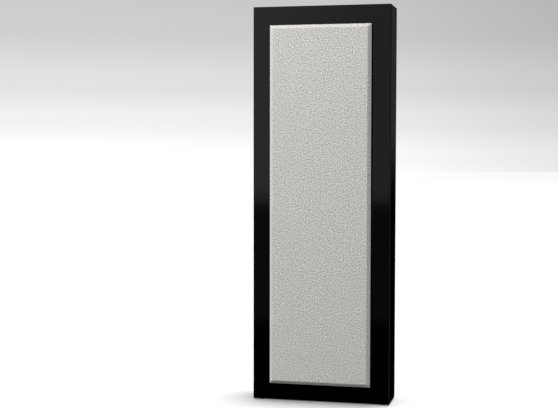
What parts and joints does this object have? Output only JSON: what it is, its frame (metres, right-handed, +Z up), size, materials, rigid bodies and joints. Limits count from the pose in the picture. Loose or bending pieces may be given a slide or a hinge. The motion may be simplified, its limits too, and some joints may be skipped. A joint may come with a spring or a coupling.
{
  "type": "floorstanding loudspeaker",
  "caption": "Slim floorstanding three-way loudspeaker: glossy black flat cabinet with a bevelled, lift-off light grey cloth grille.",
  "frame": {"origin": "on the floor, under the middle of the outer box", "axes": "+Z up; the front and its grille face -Y; +X is to the right seen from the front"},
  "size_m": [0.404, 0.1454, 1.1525],
  "materials": {
    "black_lacquer": "high-gloss black lacquer on fibreboard",
    "plywood": "bare birch plywood",
    "wadding": "soft white polyester wool",
    "port_plastic": "satin black moulding",
    "foot_rubber": "matt black rubber",
    "zinc_steel": "bright zinc plate",
    "black_steel": "black zinc plate",
    "gold_plate": "gold-plated brass",
    "cup_plastic": "finely textured black moulding",
    "board_laminate": "green glass-fibre laminate",
    "coil_copper": "enamelled copper wire",
    "capacitor_film": "yellow film wrap",
    "resistor_ceramic": "unglazed white ceramic",
    "wire_insulation": "soft red and black insulation",
    "socket_nylon": "black nylon",
    "basket_alloy": "black textured powder coat on cast alloy",
    "magnet_ferrite": "dark grey ferrite",
    "pole_steel": "zinc-plated steel",
    "surround_rubber": "soft black rubber",
    "spider_cloth": "resin-dipped cotton",
    "cone_paper": "black pulp with fibres",
    "dust_cap": "satin black",
    "voice_coil": "copper winding on a thin former",
    "faceplate": "satin black moulding",
    "dome_silk": "coated black silk",
    "grille_frame": "matt black moulding",
    "grille_cloth": "warm light grey mottled weave",
    "knob_red": "clear-coated red plastic",
    "knob_black": "glossy black plastic"
  },
  "bodies": {
    "cabinet": {"front_baffle": "black_lacquer", "back_panel": "black_lacquer", "left_side_panel": "black_lacquer", "right_side_panel": "black_lacquer", "top_panel": "black_lacquer", "bottom_panel": "black_lacquer", "brace_lower": "plywood", "brace_upper": "plywood", "chamber_divider": "plywood", "damping_wadding": "wadding", "bass_port": "port_plastic", "rubber_feet": "foot_rubber", "keyhole_plates": "zinc_steel", "panel_screws": "black_steel", "driver_screws": "black_steel", "terminal_cup": "cup_plastic", "post_studs": "gold_plate", "post_nuts": "zinc_steel", "crossover_board": "board_laminate", "crossover_coils": "coil_copper", "crossover_capacitors": "capacitor_film", "crossover_resistors": "resistor_ceramic", "internal_wiring": "wire_insulation", "peg_sockets": "socket_nylon", "woofer_upper_basket": "basket_alloy", "woofer_upper_magnet": "magnet_ferrite", "woofer_upper_pole_plates": "pole_steel", "woofer_upper_surround": "surround_rubber", "woofer_upper_spider": "spider_cloth", "woofer_lower_basket": "basket_alloy", "woofer_lower_magnet": "magnet_ferrite", "woofer_lower_pole_plates": "pole_steel", "woofer_lower_surround": "surround_rubber", "woofer_lower_spider": "spider_cloth", "midrange_basket": "basket_alloy", "midrange_magnet": "magnet_ferrite", "midrange_pole_plates": "pole_steel", "midrange_surround": "surround_rubber", "midrange_spider": "spider_cloth", "tweeter_faceplate": "faceplate", "tweeter_motor": "magnet_ferrite", "tweeter_surround": "dome_silk"},
    "grille": {"grille_frame": "grille_frame", "grille_cloth": "grille_cloth", "grille_pegs": "socket_nylon"},
    "woofer_upper_diaphragm": {"woofer_upper_cone": "cone_paper", "woofer_upper_dust_cap": "dust_cap", "woofer_upper_voice_coil": "voice_coil"},
    "woofer_lower_diaphragm": {"woofer_lower_cone": "cone_paper", "woofer_lower_dust_cap": "dust_cap", "woofer_lower_voice_coil": "voice_coil"},
    "midrange_diaphragm": {"midrange_cone": "cone_paper", "midrange_dust_cap": "dust_cap", "midrange_voice_coil": "voice_coil"},
    "tweeter_diaphragm": {"tweeter_dome": "dome_silk", "tweeter_voice_coil": "voice_coil"},
    "red_post_collar": {"red_post_insert": "gold_plate"},
    "red_post_grip": {"red_post_knob": "knob_red"},
    "black_post_collar": {"black_post_insert": "gold_plate"},
    "black_post_grip": {"black_post_knob": "knob_black"}
  },
  "joints": [
    {"name": "grille_release", "type": "slide", "parent": "cabinet", "child": "grille", "axis": [0, -1, 0], "range_m": [0, 0.06]},
    {"name": "woofer_upper_stroke", "type": "slide", "parent": "cabinet", "child": "woofer_upper_diaphragm", "axis": [0, -1, 0], "range_m": [-0.004, 0.004], "stiffness_N_per_m": 2000, "deforming": ["woofer_upper_surround", "woofer_upper_spider"]},
    {"name": "woofer_lower_stroke", "type": "slide", "parent": "cabinet", "child": "woofer_lower_diaphragm", "axis": [0, -1, 0], "range_m": [-0.004, 0.004], "stiffness_N_per_m": 2000, "deforming": ["woofer_lower_surround", "woofer_lower_spider"]},
    {"name": "midrange_stroke", "type": "slide", "parent": "cabinet", "child": "midrange_diaphragm", "axis": [0, -1, 0], "range_m": [-0.002, 0.002], "stiffness_N_per_m": 1500, "deforming": ["midrange_surround", "midrange_spider"]},
    {"name": "tweeter_stroke", "type": "slide", "parent": "cabinet", "child": "tweeter_diaphragm", "axis": [0, -1, 0], "range_m": [-0.0005, 0.0005], "stiffness_N_per_m": 1500, "deforming": ["tweeter_surround"]},
    {"name": "red_post_lift", "type": "slide", "parent": "cabinet", "child": "red_post_collar", "axis": [0, 1, 0], "range_m": [0, 0.004]},
    {"name": "red_post_turn", "type": "hinge", "parent": "red_post_collar", "child": "red_post_grip", "pos_m": [-0.015, 0.06, 0.082], "axis": [0, 1, 0], "range_deg": [0, 1440]},
    {"name": "black_post_lift", "type": "slide", "parent": "cabinet", "child": "black_post_collar", "axis": [0, 1, 0], "range_m": [0, 0.004]},
    {"name": "black_post_turn", "type": "hinge", "parent": "black_post_collar", "child": "black_post_grip", "pos_m": [0.015, 0.06, 0.082], "axis": [0, 1, 0], "range_deg": [0, 1440]}
  ],
  "couplings": [
    {"joint": "red_post_turn", "follows": "red_post_lift", "rad_per_m": 6283.2},
    {"joint": "black_post_turn", "follows": "black_post_lift", "rad_per_m": 6283.2}
  ]
}
